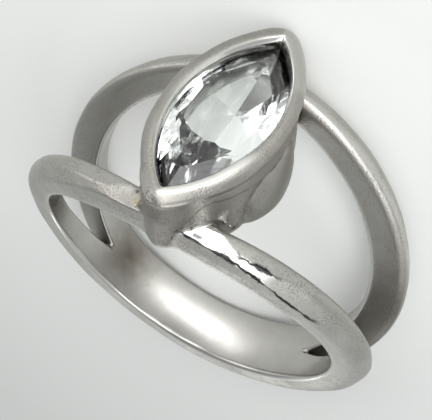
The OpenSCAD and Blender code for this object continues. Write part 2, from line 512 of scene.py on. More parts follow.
@dataclass
class Setting:
    """The cup round the stone: its half-round lip, wall, column, belly and seat."""

    sizes: RingSizes
    # The lip
    outer_tip: float = 1.19
    inner_tip: float = 0.14
    least_half_lip: float = 0.05
    lip_below: float = 0.3
    lip_crest: float = 0.25
    lip_crease: float = 0.12
    left_crease: float = 0.4
    left_crease_x: Span = (0.0, 0.4)
    left_crease_y: Span = (4.0, 4.8)
    lip_twist: float = 0.03
    twist_above_girdle: Span = (0.15, 0.35)
    near_tip: float = 0.55
    near_tip_short: float = 0.06
    near_tip_y: Span = (2.5, 5.3)
    near_below: float = 0.16
    near_below_y: Span = (3.0, 4.8)
    # The wall, set back below the leaf's edge
    near_wall_in: float = 0.13
    near_wall_z: Span = (10.2, 11.1)
    wall_tip_y: Span = (3.4, 5.0)
    wall_edge: float = 0.05
    recess: float = 0.08
    recess_edge: float = 0.13
    # The belly low on each side, and the seam where it meets the wall
    belly_centre: Place = (0.0, -0.15, 8.1)
    belly_radii: tuple[float, float, float] = (3.2, 3.6, 3.82)
    belly_top: float = 10.4
    belly_edge: float = 0.1
    belly_crease: float = 0.03
    seam_depth: float = 0.05
    seam_w: float = 0.07
    # The columns under the tips
    column_y: float = 4.6
    column_l: float = 0.84
    column_taper: float = 0.06
    taper_z: Span = (9.6, 11.1)
    column_top: float = 0.1
    far_column_l: float = 0.86
    column_blend: float = 0.2
    # Where the lip is worn bright on its near side, its bright colour partly a painted highlight, and
    # burnished at its inner edge
    worn_and_highlight_y: Span = (1.2, 2.4)
    worn_and_highlight_x: Span = (-0.15, 0.05)
    worn_and_highlight_across: Span = (0.35, 0.1)
    burnished_across: Span = (-0.45, -0.7)
    lip_fade: float = 0.1
    column: tuple[Level, ...] = (
        Level(z=8.3, half_w=0.62),
        Level(z=9.0, half_w=0.7),
        Level(z=9.4, half_w=0.74),
        Level(z=9.8, half_w=0.76),
        Level(z=10.4, half_w=0.7),
        Level(z=11.1, half_w=0.6),
    )
    beads: tuple[Bead, ...] = (
        Bead(centre=(1.98, -3.5, 9.45), radius=0.08, blend=0.4),
        Bead(centre=(2.14, -3.56, 9.32), radius=0.08, blend=0.18),
        Bead(centre=(2.27, -3.42, 9.05), radius=0.1, blend=0.18),
        Bead(centre=(-1.05, -4.75, 9.6), radius=0.16, blend=0.3),
    )
    wall: tuple[Level, ...] = (
        Level(z=7.4, half_w=2.98),
        Level(z=8.2, half_w=2.93),
        Level(z=9.1, half_w=2.85),
        Level(z=9.95, half_w=2.76),
        Level(z=10.55, half_w=2.7),
        Level(z=11.0, half_w=2.65),
        Level(z=11.3, half_w=2.6),
    )
    hollow: tuple[Level, ...] = (
        Level(z=9.72, half_w=1.25),
        Level(z=10.66, half_w=2.29),
        Level(z=10.9, half_w=2.29),
        Level(z=11.07, half_w=2.06),
        Level(z=11.3, half_w=2.05),
    )
    leaf: tuple[LeafPoint, ...] = (
        LeafPoint(y=0.0, z=10.12),
        LeafPoint(y=1.13, z=10.21),
        LeafPoint(y=2.39, z=10.38),
        LeafPoint(y=3.2, z=10.52),
        LeafPoint(y=3.8, z=10.72),
        LeafPoint(y=4.11, z=10.7),
        LeafPoint(y=4.4, z=10.57),
        LeafPoint(y=4.56, z=10.35),
        LeafPoint(y=4.72, z=10.11),
        LeafPoint(y=4.91, z=9.88),
        LeafPoint(y=5.1, z=9.7),
        LeafPoint(y=5.35, z=8.6),
    )

    def outline(self, x: np.ndarray, y: np.ndarray, axis: float, blend: float) -> np.ndarray:
        """Gives the half width of the pointed outline that runs through each place.

        Args:
            x: Places across the ring.
            y: Places along the finger.
            axis: Distance of the arcs' centres from the middle.
            blend: How much the tips are rounded.

        Returns:
            The half width that the outline has at its widest.
        """
        return soft_max(np.hypot(x + axis, y) - axis, np.hypot(x - axis, y) - axis, blend)

    def across_lip(self, x: np.ndarray, y: np.ndarray) -> tuple[np.ndarray, np.ndarray]:
        """Measures the lip in plan.

        Args:
            x: Places across the ring.
            y: Places along the finger.

        Returns:
            The distance outwards from the lip's middle line, and half of the lip's width.
        """
        s = self.sizes
        near = ramp(-y, *self.near_tip_y)
        stretched = y * (1 + self.near_tip_short * near)
        tip = self.outer_tip + (self.near_tip - self.outer_tip) * near
        outer = s.cup_w / 2 - self.outline(x, stretched, s.cup_axis, tip)
        inner_w = s.stone_w / 2 - s.lip_over
        inner = self.outline(x - self.lip_twist * y, y, s.stone_axis, self.inner_tip) - inner_w
        return (inner - outer) / 2, np.maximum((inner + outer) / 2, self.least_half_lip)

    def lip(self, x: np.ndarray, y: np.ndarray, z: np.ndarray) -> np.ndarray:
        """Gives the field of the half-round lip that holds the stone.

        Args:
            x: Places across the ring.
            y: Places along the finger.
            z: Heights.

        Returns:
            Roughly the distance to the lip, negative inside.
        """
        s = self.sizes
        off, half = self.across_lip(x, y)
        up = z - s.lip_foot
        from_crest = off / half + self.lip_crest
        scaled_off = np.where(
            from_crest > 0, from_crest / (1 + self.lip_crest), from_crest / (1 - self.lip_crest)
        )
        near = ramp(-y, *self.near_below_y)
        below = self.lip_below + (self.near_below - self.lip_below) * near
        scaled_up = np.where(up > 0, up / s.lip_rise, up / below)
        return (np.hypot(scaled_off, scaled_up) - 1) * np.minimum(half, s.lip_rise)

    def cup_wall(self, x: np.ndarray, y: np.ndarray, z: np.ndarray) -> np.ndarray:
        """Gives the field of the wall under the lip, set back below its leaf-shaped edge.

        Args:
            x: Places across the ring.
            y: Places along the finger.
            z: Heights.

        Returns:
            Roughly the distance to the wall's solid, negative inside.
        """
        s = self.sizes
        side = np.abs(y)
        reach = half_width_at(self.wall, z)
        at_tip = ramp(side, *self.wall_tip_y)
        flat = s.cup_w / 2 - s.tip_lean * (s.lip_foot - z) / (s.lip_foot - s.finger_r)
        flat = flat - self.near_wall_in * ramp(z, *self.near_wall_z) * (y < 0)
        reach = reach * (1 - at_tip) + flat * at_tip
        leaf = np.interp(side, [p.y for p in self.leaf], [p.z for p in self.leaf])
        reach = reach - self.recess * ramp(leaf - z, -self.recess_edge / 2, self.recess_edge / 2)
        outside = self.outline(x, y, s.cup_axis, self.outer_tip) - reach
        return soft_max(outside, z - s.lip_foot, self.wall_edge)

    def belly(self, x: np.ndarray, y: np.ndarray, z: np.ndarray) -> np.ndarray:
        """Gives the field of the swelling low on the wall's two sides.

        Args:
            x: Places across the ring.
            y: Places along the finger.
            z: Heights.

        Returns:
            Roughly the distance to the swelling, negative inside.
        """
        (cx, cy, cz), (rx, ry, rz) = self.belly_centre, self.belly_radii
        scaled = np.sqrt(((x - cx) / rx) ** 2 + ((y - cy) / ry) ** 2 + ((z - cz) / rz) ** 2)
        return soft_max((scaled - 1) * rx, z - self.belly_top, self.belly_edge)

    def column_field(self, x: np.ndarray, y: np.ndarray, z: np.ndarray, tip: Tip) -> np.ndarray:
        """Gives the field of the column under one tip.

        Args:
            x: Places across the ring.
            y: Places along the finger.
            z: Heights.
            tip: Which tip it is. The near one stands out a little more at its foot.

        Returns:
            Roughly the distance to the column, negative inside.
        """
        half_l = self.far_column_l
        if tip is Tip.NEAR:
            half_l = self.column_l - self.column_taper * ramp(z, *self.taper_z)
        across = x / half_width_at(self.column, z)
        along = (y * tip.value - self.column_y) / half_l
        shaft = (np.hypot(across, along) - 1) * half_l
        return soft_max(shaft, z - self.sizes.lip_foot + self.column_top, self.column_top)

    def field(self, x: np.ndarray, y: np.ndarray, z: np.ndarray) -> np.ndarray:
        """Gives the field of the setting before it is hollowed.

        Args:
            x: Places across the ring.
            y: Places along the finger.
            z: Heights.

        Returns:
            Roughly the distance to the setting, negative inside.
        """
        wall, belly = self.cup_wall(x, y, z), self.belly(x, y, z)
        made = soft_min(wall, belly, self.belly_crease)
        made = made + self.seam_depth * np.exp(-(((wall - belly) / self.seam_w) ** 2))
        for tip in Tip:
            made = soft_min(made, self.column_field(x, y, z, tip), self.column_blend)
        for bead in self.beads:
            made = soft_min(made, ball(x, y, z, bead.centre, bead.radius), bead.blend)
        left = ramp(-x, *self.left_crease_x) * ramp(-y, *self.left_crease_y)
        crease = self.lip_crease + (self.left_crease - self.lip_crease) * left
        return soft_min(made, self.lip(x, y, z), crease)

    def space(self, x: np.ndarray, y: np.ndarray, z: np.ndarray) -> np.ndarray:
        """Gives the field of the stone's pocket, its seat and the opening behind it.

        Args:
            x: Places across the ring.
            y: Places along the finger.
            z: Heights.

        Returns:
            Roughly the distance to that space, negative inside it.
        """
        s = self.sizes
        reach = half_width_at(self.hollow, z)
        low, high = self.twist_above_girdle
        twist = self.lip_twist * ramp(z, s.girdle_z + low, s.girdle_z + high)
        return self.outline(x - twist * y, y, s.stone_axis, self.inner_tip) - reach

    def polish(self, x: np.ndarray, y: np.ndarray, z: np.ndarray) -> np.ndarray:
        """Tells where the lip is bright: its burnished inner edge and its worn near side, whose
        brightness is partly a painted highlight.

        Args:
            x: Places across the ring.
            y: Places along the finger.
            z: Heights.

        Returns:
            Up to 1 where it is bright, 0 elsewhere.
        """
        off, half = self.across_lip(x, y)
        across = off / half
        on_lip = ramp(z, self.sizes.lip_foot - self.lip_fade, self.sizes.lip_foot)
        # The near side's brightness is partly a painted highlight
        near = ramp(-y, *self.worn_and_highlight_y) * ramp(x, *self.worn_and_highlight_x) * ramp(across, *self.worn_and_highlight_across)
        return np.maximum(ramp(across, *self.burnished_across), near) * on_lip


@dataclass(frozen=True)
class SkinGrid:
    """A grid round the finger's axis on which a closed skin is found for a field."""

    fine_angle: float = 0.5
    coarse_angle: float = 0.9
    fine_to: float = 27.0
    along_reach: float = 5.85
    along_step: float = 0.1
    inner_r: float = 8.08
    outer_r: float = 12.1
    radial_step: float = 0.095
    relax_rounds: int = 4
    relax_share: float = 0.5
    pull_rounds: int = 3
    least_slope: float = 0.05
    longest_step: float = 0.06
    just_inside: float = 0.001

    def axes(self) -> tuple[np.ndarray, np.ndarray, np.ndarray]:
        """Lays out the grid.

        Returns:
            The angles in radians, the places along the finger and the radii.
        """
        top = np.arange(-self.fine_to, self.fine_to, self.fine_angle)
        rest_count = round((360 - 2 * self.fine_to) / self.coarse_angle)
        rest = np.linspace(self.fine_to, 360 - self.fine_to, rest_count, endpoint=False)
        along_count = round(2 * self.along_reach / self.along_step)
        along = np.linspace(-self.along_reach, self.along_reach, along_count)
        radii = np.arange(self.inner_r, self.outer_r, self.radial_step)
        return np.radians(np.concatenate([top, rest])), along, radii

    def skin(self, shape: Field) -> tuple[np.ndarray, np.ndarray]:
        """Finds the closed skin of a field as four-sided faces.

        Args:
            shape: The field, negative inside.

        Returns:
            The points, and the four points of each face, outside seen anticlockwise.
        """
        angles, along, radii = self.axes()
        a, y, r = np.meshgrid(angles, along, radii, indexing="ij")
        values = self.uncross(shape(r * np.sin(a), y, r * np.cos(a)))
        points, index = self.cell_points(values, (angles, along, radii))
        faces = self.cell_faces(values, index)
        return self.settle(points, faces, shape), faces

    def uncross(self, values: np.ndarray) -> np.ndarray:
        """Fills one corner of each grid square whose corners lie crosswise in and out.

        Four faces would share an edge there, and the skin would not be closed cleanly.

        Args:
            values: The field at the grid's points.

        Returns:
            The values, with the nearer outside corner of each such square just inside.
        """
        for flat in range(3):
            first, second = [axis for axis in range(3) if axis != flat]
            inside = values < 0
            beside, above = np.roll(inside, -1, first), np.roll(inside, -1, second)
            across = np.roll(beside, -1, second)
            crosswise = (inside == across) & (beside == above) & (inside != beside)
            for start in np.argwhere(crosswise):
                corners = []
                for steps in ((0, 0), (1, 0), (1, 1), (0, 1)):
                    corner = start.copy()
                    corner[[first, second]] += steps
                    corners.append(tuple(corner % values.shape))
                outside = [corner for corner in corners if values[corner] >= 0]
                values[min(outside, key=values.__getitem__)] = -self.just_inside
        return values

    def cell_points(
        self, values: np.ndarray, axes: tuple[np.ndarray, ...]
    ) -> tuple[np.ndarray, np.ndarray]:
        """Puts one point into each cell that the skin passes through.

        Args:
            values: The field at the grid's points.
            axes: The grid's angles, places along the finger and radii.

        Returns:
            The points, and the number of each cell's point, or -1.
        """
        turns, rows, shells = values.shape
        ring = np.concatenate([values, values[:1]], axis=0)
        corners = [
            ring[i : i + turns, j : j + rows - 1, k : k + shells - 1] < 0
            for i in (0, 1)
            for j in (0, 1)
            for k in (0, 1)
        ]
        inside = sum(c.astype(np.int8) for c in corners)
        cells = np.argwhere((inside > 0) & (inside < len(corners)))
        total, hits = np.zeros((len(cells), 3)), np.zeros(len(cells))
        for axis in range(3):
            others = [b for b in range(3) if b != axis]
            for first in (0, 1):
                for second in (0, 1):
                    start = np.zeros(3, int)
                    start[others[0]], start[others[1]] = first, second
                    end = start.copy()
                    end[axis] = 1
                    f0 = ring[tuple((cells + start).T)]
                    f1 = ring[tuple((cells + end).T)]
                    crossed = (f0 < 0) != (f1 < 0)
                    share = np.where(crossed, f0 / np.where(crossed, f0 - f1, 1.0), 0.0)
                    place = start + share[:, None] * (end - start)
                    total += place * crossed[:, None]
                    hits += crossed
        spot = cells + total / hits[:, None]
        turn_axis = np.append(axes[0], axes[0][0] + 2 * math.pi)
        angle = np.interp(spot[:, 0], np.arange(turns + 1), turn_axis)
        along = np.interp(spot[:, 1], np.arange(rows), axes[1])
        radius = np.interp(spot[:, 2], np.arange(shells), axes[2])
        points = np.stack([radius * np.sin(angle), along, radius * np.cos(angle)], axis=1)
        index = np.full((turns, rows - 1, shells - 1), -1)
        index[tuple(cells.T)] = np.arange(len(cells))
        return points, index

    def cell_faces(self, values: np.ndarray, index: np.ndarray) -> np.ndarray:
        """Joins the four cells round each grid edge that the skin crosses.

        Args:
            values: The field at the grid's points.
            index: The number of each cell's point.

        Returns:
            The four points of each face.
        """
        turns = values.shape[0]
        inside = values < 0
        found = []
        for axis in range(3):
            after = np.roll(inside, -1, axis=axis)
            crossed = np.argwhere(inside != after)
            if axis > 0:
                crossed = crossed[crossed[:, axis] < values.shape[axis] - 1]
            first, second = [(1, 2), (2, 0), (0, 1)][axis]
            corners = []
            for back_first, back_second in ((1, 1), (0, 1), (0, 0), (1, 0)):
                cell = crossed.copy()
                cell[:, first] -= back_first
                cell[:, second] -= back_second
                cell[:, 0] %= turns
                corners.append(index[tuple(cell.T)])
            quads = np.stack(corners, axis=1)
            leaving = inside[tuple(crossed.T)]
            quads[~leaving] = quads[~leaving][:, ::-1]
            found.append(quads)
        return np.concatenate(found)

    def settle(self, points: np.ndarray, faces: np.ndarray, shape: Field) -> np.ndarray:
        """Evens the points out and puts them exactly on the skin.

        Args:
            points: The cells' points.
            faces: The four points of each face.
            shape: The field.

        Returns:
            The settled points.
        """
        ends = np.concatenate([faces[:, [i, (i + 1) % 4]] for i in range(4)])
        count = np.bincount(ends[:, 0], minlength=len(points))[:, None]
        for turn in range(self.relax_rounds + self.pull_rounds):
            if turn < self.relax_rounds:
                near = [
                    np.bincount(ends[:, 0], weights=points[ends[:, 1], i], minlength=len(points))
                    for i in range(3)
                ]
                points = points + self.relax_share * (np.stack(near, axis=1) / count - points)
            value, slope = measure(shape, points)
            step = value / np.maximum((slope * slope).sum(1), self.least_slope)
            step = np.clip(step, -self.longest_step, self.longest_step)
            points = points - step[:, None] * slope
        return points


def measure(shape: Field, points: np.ndarray, reach: float = 0.004) -> tuple[np.ndarray, np.ndarray]:
    """Reads a field and its slope.

    Args:
        shape: The field.
        points: Where it is read.
        reach: How far to either side the slope is taken.

    Returns:
        The field's values and its slope at each point.
    """
    slope = np.empty_like(points)
    for axis in range(3):
        step = np.zeros(3)
        step[axis] = reach
        slope[:, axis] = (shape(*(points + step).T) - shape(*(points - step).T)) / (2 * reach)
    return shape(*points.T), slope


def bend(shape: Field, points: np.ndarray, reach: float) -> np.ndarray:
    """Measures how sharply a skin bends, above 0 on edges and below 0 in creases.

    Args:
        shape: The field.
        points: Where it is read.
        reach: Size of the edges and creases that are looked for.

    Returns:
        The sum of the bends across each point, in 1/mm.
    """
    total = -6 * shape(*points.T)
    for axis in range(3):
        step = np.zeros(3)
        step[axis] = reach
        total += shape(*(points + step).T) + shape(*(points - step).T)
    return total / reach**2


@dataclass(frozen=True)
class Nodes:
    """A short way to write the nodes of a tree and the links between them."""

    tree: bpy.types.NodeTree

    def add(self, kind: str, inputs: dict | None = None, **settings: object) -> bpy.types.Node:
        """Adds a node.

        Args:
            kind: The node's type.
            inputs: Values or sockets for its inputs, by name or number.
            settings: Values of its properties.

        Returns:
            The node.
        """
        node = self.tree.nodes.new(kind)
        for name, value in settings.items():
            setattr(node, name, value)
        for name, value in (inputs or {}).items():
            if isinstance(value, bpy.types.NodeSocket):
                self.tree.links.new(value, node.inputs[name])
            else:
                node.inputs[name].default_value = value
        return node

    def maths(self, operation: str, *values: object, clamp: bool = False) -> bpy.types.NodeSocket:
        """Adds a Math node and gives its output."""
        inputs = dict(enumerate(values))
        return self.add("ShaderNodeMath", inputs, operation=operation, use_clamp=clamp).outputs[0]

    def spread(self, value: object, source: Span, target: Span = RISE) -> bpy.types.NodeSocket:
        """Adds a Map Range node, clamped at both ends, and gives its output."""
        inputs = {0: value, 1: source[0], 2: source[1], 3: target[0], 4: target[1]}
        return self.add("ShaderNodeMapRange", inputs, clamp=True).outputs[0]

    def blend(self, share: object, first: object, second: object) -> bpy.types.NodeSocket:
        """Adds a colour Mix node and gives its output."""
        inputs = {0: share, 6: first, 7: second}
        return self.add("ShaderNodeMix", inputs, data_type="RGBA").outputs[2]

    def noise(self, place: object, scale: object, detail: float, **more: float) -> bpy.types.NodeSocket:
        """Adds a Noise texture and gives its value."""
        inputs = {"Vector": place, "Scale": scale, "Detail": detail, **more}
        return self.add("ShaderNodeTexNoise", inputs).outputs["Fac"]

    def mask(self, name: str) -> bpy.types.NodeSocket:
        """Reads one of the masks that are stored on the mesh."""
        return self.add("ShaderNodeAttribute", attribute_name=name).outputs["Fac"]

    def group(self, tree: bpy.types.NodeTree, place: object, scale: float) -> object:
        """Adds one of the shared groups and gives its outputs."""
        return self.add("ShaderNodeGroup", {"Place": place, "Scale": scale}, node_tree=tree).outputs


def new_group(name: str, inputs: dict[str, float], outputs: tuple[str, ...]) -> tuple:
    """Starts a shader node group that takes a place and some numbers, and gives numbers.

    Args:
        name: The group's name.
        inputs: Its number inputs and what they are by default.
        outputs: Its outputs.

    Returns:
        The group, its Nodes, the input node and the output node.
    """
    group = bpy.data.node_groups.new(name, "ShaderNodeTree")
    group.interface.new_socket("Place", in_out="INPUT", socket_type="NodeSocketVector")
    for title, value in inputs.items():
        made = group.interface.new_socket(title, in_out="INPUT", socket_type="NodeSocketFloat")
        made.default_value = value
    for title in outputs:
        group.interface.new_socket(title, in_out="OUTPUT", socket_type="NodeSocketFloat")
    nodes = Nodes(group)
    return group, nodes, nodes.add("NodeGroupInput").outputs, nodes.add("NodeGroupOutput").inputs


def hairlines_group() -> bpy.types.NodeTree:
    """Builds the fine scratches that wear leaves on metal and stone.

    Returns:
        A group with the inputs Place and Scale and the output Height.
    """
    group, nodes, source, sink = new_group("hairlines", {"Scale": 900.0}, ("Height",))
    turns = ((0.4, 0.9, 0.0), (1.3, 2.2, 0.7), (2.1, 0.3, 1.4))
    stretch, half_line_w, patch_scale, patch_edge = (1, 14, 1), 0.03, 260.0, (0.5, 0.62)
    total: object = None
    for turn in turns:
        turned = nodes.add(
            "ShaderNodeMapping", {"Vector": source["Place"], "Rotation": turn, "Scale": stretch}
        ).outputs[0]
        fibre = nodes.noise(turned, source["Scale"], 2.0, Distortion=0.3)
        from_middle = nodes.maths("ABSOLUTE", nodes.maths("SUBTRACT", fibre, 0.5))
        line = nodes.spread(from_middle, (0.0, half_line_w), FALL)
        patch = nodes.spread(nodes.noise(turned, patch_scale, 1.0), patch_edge)
        line = nodes.maths("MULTIPLY", line, patch)
        total = line if total is None else nodes.maths("ADD", total, line)
    nodes.tree.links.new(total, sink["Height"])
    return group


def mottle_group() -> bpy.types.NodeTree:
    """Builds the slow unevenness of a hand-finished or dusty surface.

    Returns:
        A group with the inputs Place and Scale and the outputs Slow and Fine.
    """
    times_finer = 9.0
    group, nodes, source, sink = new_group("mottle", {"Scale": 300.0}, ("Slow", "Fine"))
    finer = nodes.maths("MULTIPLY", source["Scale"], times_finer)
    slow = nodes.noise(source["Place"], source["Scale"], 3.0, Roughness=0.6)
    fine = nodes.noise(source["Place"], finer, 4.0)
    nodes.tree.links.new(nodes.spread(slow, ROUGH_NOISE_RANGE), sink["Slow"])
    nodes.tree.links.new(nodes.spread(fine, NOISE_RANGE), sink["Fine"])
    return group


@dataclass
class Bench:
    """The shader groups that several finishes share."""

    hairlines: bpy.types.NodeTree = field(default_factory=hairlines_group)
    mottle: bpy.types.NodeTree = field(default_factory=mottle_group)


def new_material(name: str) -> tuple[bpy.types.Material, Nodes, bpy.types.Node, object]:
    """Starts a material with a Principled shader.

    Args:
        name: The material's name.

    Returns:
        The material, its Nodes, the shader and the object's own coordinates.
    """
    material = bpy.data.materials.new(name)
    material.use_nodes = True
    nodes = Nodes(material.node_tree)
    shader = material.node_tree.nodes["Principled BSDF"]
    return material, nodes, shader, nodes.add("ShaderNodeTexCoord").outputs["Object"]


@dataclass(frozen=True)
class SilverFinish:
    """Worn silver: satin sides with fine pits, bright facets and a burnished lip edge."""

    tone: Colour = (0.45, 0.435, 0.405, 1.0)
    cool: Colour = (0.38, 0.38, 0.355, 1.0)
    # Polished silver's colour, also painted light on the seat, the far right arm and the lip's near side
    polish_and_painted_light_tone: Colour = (0.86, 0.855, 0.83, 1.0)
    # Tarnished colour, also used for painted shade and a painted dark reflection
    tarnish_and_shade_tone: Colour = (0.09, 0.075, 0.058, 1.0)
    gold_tone: Colour = (0.5, 0.4, 0.24, 1.0)
    # Near-black for the dark lines and marks, partly painted shade on the near facet
    line_and_shade_tone: Colour = (0.03, 0.03, 0.03, 1.0)
    satin: float = 0.36
    bright: float = 0.08
    # What wear, unevenness and dirt do to the roughness
    worn_edge: float = 0.75
    patchy: Span = (0.82, 1.18)
    dirt_rough: float = 0.15
    # Texture scales, per metre, and the edges of what they draw
    mottle_scale: float = 260.0
    hairline_scale: float = 1500.0
    hairline_height: Span = (0.3, 0.05)
    grain_scale: float = 11000.0
    grain_height: float = 0.5
    pit_scale: float = 10500.0
    pit_edge: Span = (0.15, 0.5)
    pit_dark: float = 0.5
    pit_in_film: float = 0.3
    pit_polish: Span = (0.1, 0.5)
    pit_left: Span = (1.0, 0.06)
    drift_scale: float = 900.0
    drift_edge: Span = (0.36, 0.58)
    drift_pits: Span = (0.1, 1.0)
    line_w: Span = (0.015, 0.11)
    line_w_scale: float = 900.0
    painted_shade_shift: float = 0.03
    line_wander: float = 0.035
    line_wander_scale: float = 3500.0
    line_edge: Span = (0.5, 1.3)
    # The stains, the dirt in creases and the film
    stain_edge: Span = (0.05, 0.4)
    stain_depth: float = 0.9
    crease_dirt: Span = (0.45, 0.95)
    film_patches: Span = (0.7, 1.0)
    film_covers: Span = (0.0, 0.2)
    polished_height: Span = (1.0, 0.1)
    bump: float = 1.1e-5

    def dark_line(self, nodes: Nodes, place: object, edge: str) -> bpy.types.NodeSocket:
        """Draws the ragged dark line along one edge of a facet, shifted onto the facet, where it is
        partly painted shade.

        Args:
            nodes: The material's nodes.
            place: The object's own coordinates.
            edge: Name of the edge in the mesh's masks.

        Returns:
            The line's mask.
        """
        wander = nodes.noise(place, self.line_wander_scale, 3.0, Roughness=0.7)
        wander = nodes.spread(wander, ROUGH_NOISE_RANGE, (-self.line_wander, self.line_wander))
        width = nodes.spread(nodes.noise(place, self.line_w_scale, 2.0), NOISE_RANGE, self.line_w)
        # The line is shifted onto the facet, where its dark colour is painted shade
        off = nodes.maths("SUBTRACT", nodes.mask(edge + "_edge"), self.painted_shade_shift)
        away = nodes.maths("ABSOLUTE", nodes.maths("ADD", off, wander))
        line = nodes.spread(nodes.maths("DIVIDE", away, width), self.line_edge, FALL)
        return nodes.maths("MULTIPLY", line, nodes.mask(edge + "_dark"))

    def stain(self, nodes: Nodes, name: str, fine: object) -> bpy.types.NodeSocket:
        """Breaks up the edge of the stains in one of the mesh's masks."""
        depth = nodes.maths("MULTIPLY", nodes.mask(name), fine)
        return nodes.spread(depth, self.stain_edge, (0.0, self.stain_depth))

    def pits(self, nodes: Nodes, place: object, polish: object) -> bpy.types.NodeSocket:
        """Scatters the pits of the satin sides, in drifts.

        Args:
            nodes: The material's nodes.
            place: The object's own coordinates.
            polish: The mask of the bright places.

        Returns:
            The pits' mask.
        """
        cells = nodes.add(
            "ShaderNodeTexVoronoi", {"Vector": place, "Scale": self.pit_scale, "Randomness": 1.0}
        ).outputs["Distance"]
        drift = nodes.noise(place, self.drift_scale, 4.0, Roughness=0.65)
        drift = nodes.spread(drift, self.drift_edge, self.drift_pits)
        pit = nodes.maths("MULTIPLY", nodes.spread(cells, self.pit_edge, FALL), drift)
        left = nodes.spread(polish, self.pit_polish, self.pit_left)
        return nodes.maths("MULTIPLY", pit, left)

    def dirt_and_shade(self, nodes: Nodes, pit: object, slow: object, fine: object) -> bpy.types.NodeSocket:
        """Gathers the tarnished colour of the creases, the pits, the coat and the brown stains; the
        coat's mask also carries painted shade and a painted dark reflection.

        Args:
            nodes: The material's nodes.
            pit: The mask of the pits.
            slow: The slow unevenness of the surface.
            fine: Its fine unevenness.

        Returns:
            The share of tarnished colour and painted shade in the base colour.
        """
        crease = nodes.spread(fine, RISE, self.crease_dirt)
        dirt_and_shade = nodes.maths("MULTIPLY", nodes.mask("crease"), crease, clamp=True)
        dirt_and_shade = nodes.maths("MAXIMUM", dirt_and_shade, nodes.maths("MULTIPLY", pit, self.pit_dark))
        film_and_shade = nodes.spread(slow, RISE, self.film_patches)
        film_and_shade = nodes.maths("MULTIPLY", nodes.mask("film_and_painted_shade"), film_and_shade)
        film_and_shade = nodes.maths("ADD", film_and_shade, nodes.maths("MULTIPLY", pit, self.pit_in_film))
        dirt_and_shade = nodes.maths("MAXIMUM", dirt_and_shade, film_and_shade)
        return nodes.maths("MAXIMUM", dirt_and_shade, self.stain(nodes, "brown", fine))

    def roughness(self, nodes: Nodes, slow: object, dirt_and_shade: object) -> bpy.types.NodeSocket:
        """Makes worn edges and polished places smooth, and dirty ones rougher.

        Args:
            nodes: The material's nodes.
            slow: The slow unevenness of the surface.
            dirt_and_shade: The share of tarnished colour and painted shade.

        Returns:
            The roughness.
        """
        rough = nodes.spread(nodes.mask("polish"), RISE, (self.satin, self.bright))
        worn = nodes.spread(nodes.mask("edge"), RISE, (1.0, self.worn_edge))
        rough = nodes.maths("MULTIPLY", rough, worn)
        rough = nodes.maths("MULTIPLY", rough, nodes.spread(slow, RISE, self.patchy))
        return nodes.maths("ADD", rough, nodes.maths("MULTIPLY", dirt_and_shade, self.dirt_rough), clamp=True)

    def height(self, nodes: Nodes, place: object, pit: object, lines: object) -> bpy.types.NodeSocket:
        """Adds up the fine grain, the pits and the hairlines, which fade on polished silver.

        Args:
            nodes: The material's nodes.
            place: The object's own coordinates.
            pit: The mask of the pits.
            lines: The height of the hairlines.

        Returns:
            The height for the bump.
        """
        grain = nodes.noise(place, self.grain_scale, 3.0)
        height = nodes.maths("SUBTRACT", nodes.maths("MULTIPLY", grain, self.grain_height), pit)
        under_film = nodes.spread(nodes.mask("film_and_painted_shade"), self.film_covers, self.hairline_height)
        height = nodes.maths("SUBTRACT", height, nodes.maths("MULTIPLY", lines, under_film))
        polished = nodes.spread(nodes.mask("polish"), RISE, self.polished_height)
        return nodes.maths("MULTIPLY", height, polished)

    def build(self, bench: Bench) -> bpy.types.Material:
        """Builds the material.

        Args:
            bench: The shared shader groups.

        Returns:
            The material.
        """
        material, nodes, shader, place = new_material("worn_silver")
        links = material.node_tree.links
        slow, fine = nodes.group(bench.mottle, place, self.mottle_scale)
        lines = nodes.group(bench.hairlines, place, self.hairline_scale)["Height"]
        polish = nodes.mask("polish")
        pit = self.pits(nodes, place, polish)
        dirt_and_shade = self.dirt_and_shade(nodes, pit, slow, fine)
        colour = nodes.blend(slow, self.tone, self.cool)
        # Brighter colour where polished; on the seat, the far right arm and the lip's near side it is
        # painted light
        colour = nodes.blend(polish, colour, self.polish_and_painted_light_tone)
        colour = nodes.blend(self.stain(nodes, "golden", fine), colour, self.gold_tone)
        # This blend also lays painted shade on the near column and a painted dark reflection in the
        # finger hole
        colour = nodes.blend(dirt_and_shade, colour, self.tarnish_and_shade_tone)
        for name in ("low", "ridge"):
            colour = nodes.blend(self.dark_line(nodes, place, name), colour, self.line_and_shade_tone)
        # Black marks: a pinhole, and painted shade where the near facet meets the column
        colour = nodes.blend(self.stain(nodes, "black_pits_and_shade", fine), colour, self.line_and_shade_tone)
        links.new(colour, shader.inputs["Base Color"])
        links.new(self.roughness(nodes, slow, dirt_and_shade), shader.inputs["Roughness"])
        shader.inputs["Metallic"].default_value = 1.0
        height = self.height(nodes, place, pit, lines)
        bump = nodes.add("ShaderNodeBump", {"Height": height, "Distance": self.bump})
        links.new(bump.outputs[0], shader.inputs["Normal"])
        return material


